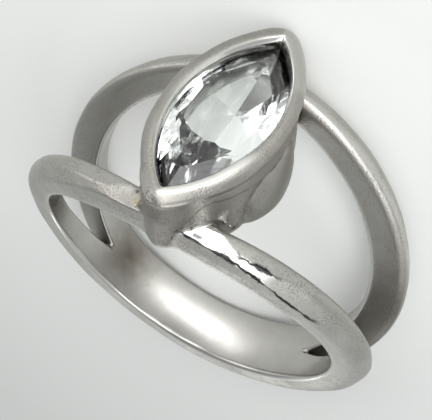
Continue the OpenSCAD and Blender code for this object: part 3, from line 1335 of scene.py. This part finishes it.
@dataclass(frozen=True)
class ClearStoneFinish:
    """A polished clear stone with a few surface hairlines."""

    tint: Colour = (0.93, 0.96, 0.95, 1.0)
    scratches: Span = (0.0, 1.5)
    scratched_shade: float = 0.9
    scratched_share: float = 0.5
    scratched_rough: float = 0.25
    hairline_scale: float = 700.0
    ior: float = 1.68
    bump: float = 6e-7

    def build(self, bench: Bench) -> bpy.types.Material:
        """Builds the material.

        Args:
            bench: The shared shader groups.

        Returns:
            The material.
        """
        material, nodes, shader, place = new_material("clear_stone")
        links = material.node_tree.links
        shader.inputs["Transmission Weight"].default_value = 1.0
        shader.inputs["Metallic"].default_value = 0.0
        shader.inputs["IOR"].default_value = self.ior
        scratch = nodes.group(bench.hairlines, place, self.hairline_scale)["Height"]
        dusty = (*(part * self.scratched_shade for part in self.tint[:3]), 1.0)
        faint = nodes.maths("MULTIPLY", scratch, self.scratched_share, clamp=True)
        links.new(nodes.blend(faint, self.tint, dusty), shader.inputs["Base Color"])
        rough = nodes.spread(scratch, self.scratches, (0.0, self.scratched_rough))
        links.new(rough, shader.inputs["Roughness"])
        bump = nodes.add("ShaderNodeBump", {"Height": scratch, "Distance": self.bump})
        links.new(bump.outputs[0], shader.inputs["Normal"])
        return material


@dataclass(frozen=True)
class FloorFinish:
    """A plain pale matt floor with painted light: a painted pool of light in its middle, against the
    ring's contact shadows, and painted shade that darkens it a little towards the back.
    """

    light: Colour = (0.74, 0.75, 0.735, 1.0)
    dark: Colour = (0.6, 0.61, 0.595, 1.0)
    # Painted shade: the floor's colour darkens towards the back
    painted_shade_grades: Span = (-0.025, 0.04)
    painted_shade_share: float = 0.95
    mottle_share: float = 0.05
    mottle_scale: float = 40.0
    # Painted light: a pool of light painted round the middle, against the ring's contact shadows
    middle: Colour = (0.88, 0.89, 0.87, 1.0)
    painted_pool_r: Span = (0.006, 0.014)
    painted_pool_share: float = 0.9
    matt: float = 0.9
    gloss: float = 0.1

    def build(self, bench: Bench) -> bpy.types.Material:
        """Builds the material.

        Args:
            bench: The shared shader groups.

        Returns:
            The material.
        """
        material, nodes, shader, place = new_material("pale_floor")
        links = material.node_tree.links
        slow = nodes.group(bench.mottle, place, self.mottle_scale)["Slow"]
        depth = nodes.add("ShaderNodeSeparateXYZ", {0: place}).outputs[1]
        # Painted shade that darkens the floor towards the back
        share = nodes.spread(depth, self.painted_shade_grades, (0.0, self.painted_shade_share))
        share = nodes.maths("ADD", share, nodes.maths("MULTIPLY", slow, self.mottle_share))
        colour = nodes.blend(share, self.light, self.dark)
        # A painted pool of light round the ring's middle
        away = nodes.add("ShaderNodeVectorMath", {0: place}, operation="LENGTH").outputs["Value"]
        pale = nodes.spread(away, self.painted_pool_r, (self.painted_pool_share, 0.0))
        links.new(nodes.blend(pale, colour, self.middle), shader.inputs["Base Color"])
        shader.inputs["Roughness"].default_value = self.matt
        shader.inputs["Specular IOR Level"].default_value = self.gloss
        return material


def linked_object(name: str, data: bpy.types.ID) -> bpy.types.Object:
    """Makes an object of a mesh, light or camera and puts it into the scene.

    Args:
        name: The object's name.
        data: The mesh, light or camera.

    Returns:
        The object.
    """
    made = bpy.data.objects.new(name, data)
    bpy.context.scene.collection.objects.link(made)
    return made


def mesh_object(name: str, points: np.ndarray, faces: np.ndarray) -> bpy.types.Object:
    """Makes an object from points and faces.

    Args:
        name: The object's name.
        points: Its points in metres, in the frame.
        faces: The points of each face.

    Returns:
        The linked object.
    """
    mesh = bpy.data.meshes.new(name)
    mesh.from_pydata(points.tolist(), [], faces.tolist())
    return linked_object(name, mesh)


@dataclass
class SilverBody:
    """The one silver solid: shank and setting, soldered, hollowed and filed."""

    sizes: RingSizes
    pose: LyingPose
    grid: SkinGrid = SkinGrid()
    # Fillets, worn edges and the file's waves
    solder: float = 0.14
    solder_low: float = 0.3
    solder_low_z: Span = (9.75, 9.2)
    solder_low_y: Span = (4.8, 5.1)
    hollow_edge: float = 0.04
    comfort: float = 0.18
    worn_comfort: float = 0.3
    worn_depth: Span = (2.0, 6.0)
    file_marks: float = 0.012
    wave_count: int = 9
    wave_turns: Span = (1.2, 3.2)
    seed: int = 7
    # How bright the finger hole, the seat and the far right arm are, and where they are; on the seat and
    # the far right arm the brighter colour is painted light
    inner_wall: Span = (0.3, 0.1)
    inner_polish: float = 0.65
    seat_polish_and_painted_light: float = 0.8
    seat_off: Span = (0.12, 0.05)
    seat_from_z: float = 8.0
    seat_drop: float = 0.2
    far_polish_and_painted_highlight: float = 0.35
    far_top: Span = (-0.1, 0.0)
    far_y: Span = (2.0, 2.6)
    far_z: Span = (1.5, 4.0)
    # The tarnished coat in the gaps, on the setting and in the finger hole, with painted shade on the
    # near column and a painted dark reflection in the finger hole
    gap_film: float = 0.2
    gap_side: Span = (-0.2, 0.05)
    gap_lift: Span = (0.05, 0.3)
    low_gap_film: float = 0.7
    low_gap_z: Span = (4.5, 0.5)
    wall_film: float = 0.25
    wall_side: Span = (-0.05, 0.1)
    # Painted shade: the column under the near tip is painted darker than the wall
    column_film_and_shade: float = 0.62
    column_film_and_shade_y: Span = (4.3, 4.9)
    lip_film: float = 0.28
    lip_drop: float = 0.25
    inner_film: float = 0.45
    # Painted reflection: a dark patch low on the left of the finger hole
    inner_painted_reflection: Stain = Stain(centre=(-5.7, 0.2, -6.0), radius=3.4)
    inner_painted_reflection_share: float = 1.1
    # How sharp a bend is worn smooth, or holds dirt, in 1/mm
    bend_reach: float = 0.14
    worn_bend: Span = (2.5, 6.0)
    crease_bend: Span = (-0.8, -5.0)
    golden: tuple[Stain, ...] = (
        Stain(centre=(-1.25, -4.5, 9.5), radius=0.5),
        Stain(centre=(-0.88, -4.98, 9.95), radius=0.45),
    )
    brown: tuple[Stain, ...] = (
        Stain(centre=(-1.6, -4.15, 9.45), radius=0.22),
        Stain(centre=(2.2, -3.3, 8.95), radius=0.2),
        Stain(centre=(2.3, -2.95, 8.35), radius=0.3),
        Stain(centre=(4.62, 3.05, 7.75), radius=0.16),
    )
    # Black marks: a pinhole, and painted shade beside it where the near right arm's facet meets the
    # column
    black_pits_and_shade: tuple[Stain, ...] = (
        Stain(centre=(1.13, -4.57, 9.45), radius=0.1),
        Stain(centre=(1.38, -4.72, 9.37), radius=0.16),
        Stain(centre=(1.58, -4.72, 9.33), radius=0.2),
    )

    def __post_init__(self) -> None:
        """Makes the two parts whose fields are joined, and draws the waves left by the file."""
        self.shank = Shank(self.sizes)
        self.setting = Setting(self.sizes)
        rng = np.random.default_rng(self.seed)
        direction = rng.normal(size=(self.wave_count, 3))
        direction /= np.linalg.norm(direction, axis=1)[:, None]
        self.waves = direction * rng.uniform(*self.wave_turns, size=(self.wave_count, 1))
        self.phases = rng.uniform(0, 2 * math.pi, size=self.wave_count)

    def unevenness(self, x: np.ndarray, y: np.ndarray, z: np.ndarray) -> np.ndarray:
        """Gives the slow waves that hand filing leaves in the metal.

        Args:
            x: Places across the ring.
            y: Places along the finger.
            z: Heights.

        Returns:
            How far the skin is drawn in at each place, or out where it is negative.
        """
        total = np.zeros_like(x)
        for (a, b, c), phase in zip(self.waves, self.phases):
            total += np.sin(a * x + b * y + c * z + phase)
        return total * self.file_marks / math.sqrt(self.wave_count)

    def field(self, x: np.ndarray, y: np.ndarray, z: np.ndarray) -> np.ndarray:
        """Gives the field of the whole silver solid.

        Args:
            x: Places across the ring.
            y: Places along the finger.
            z: Heights.

        Returns:
            Roughly the distance to the silver, negative inside.
        """
        upper = z > 0
        setting = np.where(upper, self.setting.field(x, y, z), 1.0)
        solder = (self.solder_low - self.solder) * ramp(z, *self.solder_low_z)
        solder = self.solder + solder * ramp(np.abs(y), *self.solder_low_y)
        made = soft_min(self.shank.field(x, y, z), setting, solder)
        made = made + self.unevenness(x, y, z)
        space = np.where(upper, self.setting.space(x, y, z), 1.0)
        made = soft_max(made, -space, self.hollow_edge)
        worn = (self.worn_comfort - self.comfort) * ramp(-z, *self.worn_depth) * (y < 0)
        return soft_max(made, self.sizes.finger_r - np.hypot(x, z), self.comfort + worn)

    def near_finger(self, x: np.ndarray, z: np.ndarray) -> np.ndarray:
        """Tells which places lie on the wall of the finger hole."""
        none, full = self.inner_wall
        return ramp(np.hypot(x, z), self.sizes.finger_r + none, self.sizes.finger_r + full)

    def film_and_painted_shade(self, x: np.ndarray, y: np.ndarray, z: np.ndarray) -> np.ndarray:
        """Tells how much tarnished coat is left on the setting, in the hole and in the gaps; on the near
        column it is deepened as painted shade, and low on the left of the hole it is a painted dark
        reflection.

        Args:
            x: Places across the ring.
            y: Places along the finger.
            z: Heights.

        Returns:
            The coat's share of the colour, painted shade included.
        """
        face = self.shank.faces(x, y, z)
        s = self.sizes
        in_gap = ramp(face["gap"] - np.maximum(face["top"], face["side"]), *self.gap_side)
        low_gap = ramp(z, *self.low_gap_z) * (x > 0) * (y > 0)
        in_gap = in_gap * (self.gap_film + (self.low_gap_film - self.gap_film) * low_gap)
        lift_from, lift_to = self.gap_lift
        in_gap = in_gap * ramp(np.hypot(x, z), s.finger_r + lift_from, s.finger_r + lift_to)
        on_setting = self.shank.field(x, y, z) - self.setting.field(x, y, z)
        wall = ramp(on_setting, *self.wall_side) * (z > 0)
        low = ramp(z, s.lip_foot, s.lip_foot - self.lip_drop)
        # Painted shade: the wall's colour is darkened further on the column under the near tip
        under_tip = (self.column_film_and_shade - self.wall_film) * ramp(-y, *self.column_film_and_shade_y)
        film_and_shade = self.lip_film + (self.wall_film + under_tip - self.lip_film) * low
        # A painted dark reflection low on the left of the finger hole
        stain = self.inner_painted_reflection
        depth = ramp(ball(x, y, z, stain.centre, 0.0), stain.radius, 0.0)
        inner = self.inner_film + (self.inner_painted_reflection_share - self.inner_film) * depth
        return np.maximum.reduce([in_gap, film_and_shade * wall, self.near_finger(x, z) * inner])

    def polish(self, x: np.ndarray, y: np.ndarray, z: np.ndarray) -> np.ndarray:
        """Tells how bright each place is: facet, lip, finger hole, seat or far right arm; the brighter
        colour is painted light on the seat, a painted highlight on the far right arm and partly one on
        the lip's near side.

        Args:
            x: Places across the ring.
            y: Places along the finger.
            z: Heights.

        Returns:
            From 0 for satin to 1 for a mirror.
        """
        facet = np.maximum(self.shank.polish(x, y, z), self.setting.polish(x, y, z))
        lip_foot = self.sizes.lip_foot
        # Painted light: the seat under the stone is painted brighter
        seat = ramp(np.abs(self.setting.space(x, y, z)), *self.seat_off) * (z > self.seat_from_z)
        seat = seat * ramp(z, lip_foot, lip_foot - self.seat_drop)
        # Painted highlight along the top of the far right arm
        far = ramp(self.shank.faces(x, y, z)["top"], *self.far_top) * (x > 0)
        far = far * ramp(y, *self.far_y) * ramp(z, *self.far_z)
        inner = self.inner_polish * self.near_finger(x, z)
        return np.maximum.reduce([facet, inner, self.seat_polish_and_painted_light * seat, self.far_polish_and_painted_highlight * far])

    def stained(self, points: np.ndarray, stains: tuple[Stain, ...]) -> np.ndarray:
        """Tells how deep each point lies in the deepest of some stains, from 0 to 1."""
        depth = [ramp(ball(*points.T, stain.centre, 0.0), stain.radius, 0.0) for stain in stains]
        return np.maximum.reduce(depth)

    def masks(self, points: np.ndarray) -> dict[str, np.ndarray]:
        """Works out the masks that the silver's material reads.

        Args:
            points: The skin's points.

        Returns:
            One number for each point, by the mask's name.
        """
        sharpness = bend(self.field, points, self.bend_reach)
        return {
            "polish": self.polish(*points.T),
            "film_and_painted_shade": self.film_and_painted_shade(*points.T),
            "golden": self.stained(points, self.golden),
            "brown": self.stained(points, self.brown),
            "black_pits_and_shade": self.stained(points, self.black_pits_and_shade),
            **self.shank.marks(*points.T),
            "edge": ramp(sharpness, *self.worn_bend),
            "crease": ramp(sharpness, *self.crease_bend),
        }

    def build(self, finish: bpy.types.Material) -> bpy.types.Object:
        """Builds and dresses the silver.

        Args:
            finish: The silver's material.

        Returns:
            The piece, which stands for the frame's metal node.
        """
        points, faces = self.grid.skin(self.field)
        value, slope = measure(self.field, points)
        LOG.info("silver skin: %d faces, worst miss %.4f mm", len(faces), np.abs(value).max())
        normals = slope / np.linalg.norm(slope, axis=1)[:, None]
        made = mesh_object("silver_band_and_setting", self.pose.place(points), faces)
        mesh = made.data
        mesh.polygons.foreach_set("use_smooth", np.ones(len(mesh.polygons), bool))
        mesh.normals_split_custom_set_from_vertices(self.pose.turn(normals).tolist())
        for name, values in self.masks(points).items():
            self.paint(mesh, name, values)
        mesh.materials.append(finish)
        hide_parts("ring_metal")
        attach(made, "root")
        return made

    def paint(self, mesh: bpy.types.Mesh, name: str, values: np.ndarray) -> None:
        """Stores a mask on the mesh's points.

        Args:
            mesh: The mesh.
            name: The mask's name.
            values: One number for each point.
        """
        layer = mesh.attributes.new(name, "FLOAT", "POINT")
        layer.data.foreach_set("value", values.astype(np.float32))


class Side(Enum):
    """The two sides of the stone's girdle, by the way that their facets face."""

    CROWN = 1
    PAVILION = -1


@dataclass(frozen=True)
class Facet:
    """One flat face ground on the stone; angles are in degrees."""

    direction: float
    slope: float
    share: float
    level: float
    side: Side


@dataclass
class CutStone:
    """The long pointed stone: table, crown, thin girdle and pavilion."""

    sizes: RingSizes
    pose: LyingPose
    main_dirs: tuple[float, ...] = (0, 36, 90)
    girdle_dirs: tuple[float, ...] = (8, 20, 29, 47, 64)
    star_dirs: tuple[float, ...] = (15, 33, 56)
    keel_share: float = 0.45
    steeper_crown: float = 5.0
    steeper_pavilion: float = 2.5
    flatter_star: float = 0.62
    arc_points: int = 40
    weld: float = 1e-6

    def outline(self) -> list[tuple[float, float]]:
        """Walks round the pointed outline.

        Returns:
            Its points, anticlockwise.
        """
        s = self.sizes
        radius, axis = arc_radius(s.stone_l / 2, s.stone_w / 2), s.stone_axis
        half = math.asin(s.stone_l / 2 / radius)
        right = []
        for i in range(self.arc_points):
            turn = half * (2 * i / self.arc_points - 1)
            right.append((radius * math.cos(turn) - axis, radius * math.sin(turn)))
        return right + [(-x, -y) for x, y in right]

    def reach(self, direction: float) -> float:
        """Measures how far the outline reaches before a facet's plane.

        Args:
            direction: Way that the facet faces in plan, in degrees.

        Returns:
            The distance from the middle to a line that touches the outline on that side.
        """
        s = self.sizes
        x, y = abs(math.cos(math.radians(direction))), abs(math.sin(math.radians(direction)))
        radius = arc_radius(s.stone_l / 2, s.stone_w / 2)
        return radius - s.stone_axis * x if y * radius < s.stone_l / 2 else y * s.stone_l / 2

    def keel(self, direction: float) -> float:
        """Gives how far the pavilion's lowest edge reaches, as a share of the outline."""
        return self.keel_share * math.sin(math.radians(direction)) ** 2

    def slope(self, direction: float, share: float, rise: float) -> float:
        """Gives the slope, in degrees, of a facet from the girdle to a share of the outline."""
        return math.degrees(math.atan2(rise, self.reach(direction) * (1 - share)))

    def crown_slope(self, direction: float) -> float:
        """Gives the slope of the crown's main facets, in degrees."""
        return self.slope(direction, self.sizes.table_share, self.sizes.crown_t)

    def facets(self) -> list[Facet]:
        """Lists the facets in the order in which they are ground.

        Returns:
            The main facets, those next to the girdle, and those round the table.
        """
        s = self.sizes
        found = []
        rounds = ((self.main_dirs, 0.0, 0.0),
                  (self.girdle_dirs, self.steeper_crown, self.steeper_pavilion))
        for directions, more_crown, more_pavilion in rounds:
            for turn in mirrored(directions):
                crown = self.crown_slope(turn) + more_crown
                below = self.slope(turn, self.keel(turn), s.pavilion_t) + more_pavilion
                found.append(Facet(turn, crown, 1, s.girdle_top, Side.CROWN))
                found.append(Facet(turn, below, 1, s.girdle_low, Side.PAVILION))
        for turn in mirrored(self.star_dirs):
            crown = self.crown_slope(turn) * self.flatter_star
            found.append(Facet(turn, crown, s.table_share, s.girdle_top + s.crown_t, Side.CROWN))
        return found

    def build(self, finish: bpy.types.Material) -> bpy.types.Object:
        """Grinds the facets on a pointed blank and dresses the stone.

        Args:
            finish: The stone's material.

        Returns:
            The piece, which stands for the frame's stone node.
        """
        s = self.sizes
        shape = bmesh.new()
        ends = (s.girdle_low - s.pavilion_t, s.girdle_top + s.crown_t)
        rings = [[shape.verts.new((x, y, z)) for x, y in self.outline()] for z in ends]
        shape.faces.new(reversed(rings[0]))
        shape.faces.new(rings[1])
        for i, start in enumerate(rings[0]):
            j = (i + 1) % len(rings[0])
            shape.faces.new((start, rings[0][j], rings[1][j], rings[1][i]))
        for facet in self.facets():
            self.grind(shape, facet)
        bmesh.ops.recalc_face_normals(shape, faces=shape.faces[:])
        shape.transform(Matrix(self.pose.matrix().tolist()))
        mesh = bpy.data.meshes.new("cut_stone")
        shape.to_mesh(mesh)
        shape.free()
        made = linked_object("cut_stone", mesh)
        mesh.materials.append(finish)
        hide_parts("stone")
        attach(made, "root")
        return made

    def grind(self, shape: bmesh.types.BMesh, facet: Facet) -> None:
        """Grinds one facet.

        Args:
            shape: The stone so far.
            facet: What is cut off, and where.
        """
        reach = self.reach(facet.direction) * facet.share
        turn, tilt = math.radians(facet.direction), math.radians(facet.slope)
        out = (math.cos(turn) * math.sin(tilt), math.sin(turn) * math.sin(tilt))
        cut = bmesh.ops.bisect_plane(
            shape,
            geom=shape.verts[:] + shape.edges[:] + shape.faces[:],
            dist=self.weld,
            plane_co=Vector((reach * math.cos(turn), reach * math.sin(turn), facet.level)),
            plane_no=Vector((*out, facet.side.value * math.cos(tilt))),
            clear_outer=True,
        )["geom_cut"]
        rim = [part for part in cut if isinstance(part, bmesh.types.BMEdge)]
        open_rim = [edge for edge in rim if len(edge.link_faces) == 1]
        if open_rim:
            bmesh.ops.edgeloop_fill(shape, edges=open_rim)


def mirrored(directions: tuple[float, ...]) -> list[float]:
    """Repeats directions of one quarter in the other three.

    Args:
        directions: Angles from 0 to 90 degrees.

    Returns:
        The angles all round, each once.
    """
    found: list[float] = []
    for turn in directions:
        for image in (turn, 180 - turn, 180 + turn, 360 - turn):
            if image % 360 not in found:
                found.append(image % 360)
    return found


def direction_from(azimuth: float, elevation: float) -> Vector:
    """Gives the way to something at an azimuth and elevation in degrees, from the front at 0."""
    a, e = math.radians(azimuth), math.radians(elevation)
    return Vector((math.sin(a) * math.cos(e), -math.cos(a) * math.cos(e), math.sin(e)))


@dataclass(frozen=True)
class SoftLight:
    """A soft light that the camera doesn't see; its direction is given in the frame, in degrees."""

    name: str
    azimuth: float
    elevation: float
    distance: float
    width: float
    height: float
    strength: float
    colour: tuple[float, float, float] = (1.0, 1.0, 1.0)
    aim: Place | None = None

    def build(self, middle: Vector) -> bpy.types.Object:
        """Builds the light.

        Args:
            middle: The ring's middle, which it faces unless it has an aim of its own.

        Returns:
            The light's object.
        """
        aim = middle if self.aim is None else Vector(self.aim)
        back = direction_from(self.azimuth, self.elevation)
        lamp = bpy.data.lights.new(self.name, "AREA")
        lamp.shape = "RECTANGLE"
        lamp.size, lamp.size_y = self.width, self.height
        lamp.energy = self.strength * math.pi * self.width * self.height
        lamp.color = self.colour
        made = linked_object(self.name, lamp)
        made.location = aim + back * self.distance
        made.rotation_mode = "QUATERNION"
        made.rotation_quaternion = back.to_track_quat("Z", "Y")
        made.visible_camera = False
        return made


@dataclass
class Studio:
    """The pale floor, the soft lights and the camera at the photo's angle."""

    pose: LyingPose
    azimuth: float = 24.118
    elevation: float = 56.847
    roll: float = 6.774
    aim_height: float = 2.815
    distance: float = 37.28
    focal_px: float = 739.894
    off_centre_px: tuple[float, float] = (-2.753, 14.607)
    frame_width_px: int = 432
    sensor: float = 36.0
    clip: Span = (0.001, 10.0)
    floor_size: float = 1.2
    floor_cuts: int = 24
    room_colour: Colour = (0.97, 0.99, 1.0, 1.0)
    room_light: Span = (0.8, 0.55)
    room_light_up: Span = (0.1, 0.7)
    room_patches: Span = (0.75, 1.25)
    room_patch_scale: float = 1.6
    room_glow: float = 0.1
    room_glow_depth: Span = (0.5, 0.95)
    room_glow_up: Span = (0.1, 0.4)
    lights: tuple[SoftLight, ...] = (
        SoftLight(
            name="back_left", azimuth=-112, elevation=55, distance=0.16,
            width=0.2, height=0.16, strength=0.55,
        ),
        SoftLight(
            name="front_low", azimuth=-2, elevation=20, distance=0.07,
            width=0.062, height=0.05, strength=3.0,
        ),
        SoftLight(
            name="front_left", azimuth=-44, elevation=50, distance=0.14,
            width=0.12, height=0.08, strength=2.8,
        ),
        SoftLight(
            name="right", azimuth=62, elevation=26, distance=0.16,
            width=0.09, height=0.08, strength=1.4, colour=(1.0, 0.95, 0.92),
        ),
        SoftLight(
            name="behind", azimuth=180, elevation=8, distance=0.16,
            width=0.08, height=0.03, strength=1.5,
        ),
        SoftLight(
            name="inside", azimuth=10, elevation=-12, distance=0.006,
            width=0.0022, height=0.0009, strength=5.0, aim=(0.0003, 0.0094, 0.0021),
        ),
    )

    def camera(self) -> bpy.types.Object:
        """Sets the camera up as it stood towards the upright ring.

        Returns:
            The camera's object.
        """
        roll = math.radians(self.roll)
        back = direction_from(self.azimuth, self.elevation)
        right = Vector((0, 0, 1)).cross(back).normalized()
        up = back.cross(right)
        turned_right = right * math.cos(roll) + up * math.sin(roll)
        turned_up = up * math.cos(roll) - right * math.sin(roll)
        stand = Vector((0, 0, self.aim_height)) + back * self.distance
        axes = [np.array(v) for v in (turned_right, turned_up, back)]
        turned = self.pose.turn(np.array(axes))
        lens = bpy.data.cameras.new("camera")
        lens.sensor_width = self.sensor
        lens.lens = self.sensor * self.focal_px / self.frame_width_px
        lens.shift_x = -self.off_centre_px[0] / self.frame_width_px
        lens.shift_y = self.off_centre_px[1] / self.frame_width_px
        lens.clip_start, lens.clip_end = self.clip
        made = linked_object("camera", lens)
        world = Matrix.Identity(4)
        place = self.pose.place(np.array([stand]))[0]
        for row in range(3):
            for column in range(3):
                world[row][column] = turned[column][row]
            world[row][3] = place[row]
        made.matrix_world = world
        bpy.context.scene.camera = made
        return made

    def floor(self, finish: bpy.types.Material) -> bpy.types.Object:
        """Builds the floor as a fine sheet at height 0.

        Args:
            finish: The floor's material.

        Returns:
            The floor's object.
        """
        steps = np.linspace(-self.floor_size / 2, self.floor_size / 2, self.floor_cuts + 1)
        across, along = np.meshgrid(steps, steps, indexing="ij")
        points = np.stack([across.ravel(), along.ravel(), np.zeros(across.size)], axis=1)
        row = self.floor_cuts + 1
        first = (np.arange(self.floor_cuts)[:, None] * row + np.arange(self.floor_cuts)).ravel()
        faces = np.stack([first, first + row, first + row + 1, first + 1], axis=1)
        made = mesh_object("floor", points, faces)
        made.data.materials.append(finish)
        return made

    def sky(self) -> None:
        """Fills the room with a dim light that changes slowly from side to side."""
        scene = bpy.context.scene
        scene.world = scene.world or bpy.data.worlds.new("room")
        scene.world.use_nodes = True
        tree = scene.world.node_tree
        tree.nodes.clear()
        nodes = Nodes(tree)
        place = nodes.add("ShaderNodeTexCoord").outputs["Generated"]
        _, depth, up = nodes.add("ShaderNodeSeparateXYZ", {0: place}).outputs
        patches = nodes.noise(place, self.room_patch_scale, 1.0)
        patches = nodes.spread(patches, NOISE_RANGE, self.room_patches)
        level = nodes.spread(up, self.room_light_up, self.room_light)
        level = nodes.maths("MULTIPLY", level, patches)
        behind = nodes.spread(depth, self.room_glow_depth, (0.0, self.room_glow))
        glow = nodes.maths("MULTIPLY", behind, nodes.spread(up, self.room_glow_up, FALL))
        level = nodes.maths("ADD", level, glow)
        light = nodes.add("ShaderNodeBackground", {"Color": self.room_colour, "Strength": level})
        out = nodes.add("ShaderNodeOutputWorld")
        tree.links.new(light.outputs[0], out.inputs[0])

    def build(self, finish: bpy.types.Material) -> None:
        """Builds the whole studio.

        Args:
            finish: The floor's material.
        """
        self.camera()
        self.floor(finish)
        self.sky()
        aim = Vector(self.pose.place(np.array([[0.0, 0.0, self.aim_height]]))[0])
        for light in self.lights:
            light.build(aim)
        bpy.context.scene.view_settings.view_transform = "Standard"


def main() -> None:
    """Builds the ring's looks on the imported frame, piece by piece."""
    logging.basicConfig(level=logging.INFO, format="%(name)s: %(message)s")
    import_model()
    sizes = RingSizes()
    pose = LyingPose(sizes)
    bench = Bench()
    Studio(pose).build(FloorFinish().build(bench))
    pieces = [
        SilverBody(sizes, pose).build(SilverFinish().build(bench)),
        CutStone(sizes, pose).build(ClearStoneFinish().build(bench)),
    ]
    for piece in pieces:
        LOG.info("%s has %d faces", piece.name, len(piece.data.polygons))


if __name__ == "__main__":
    main()
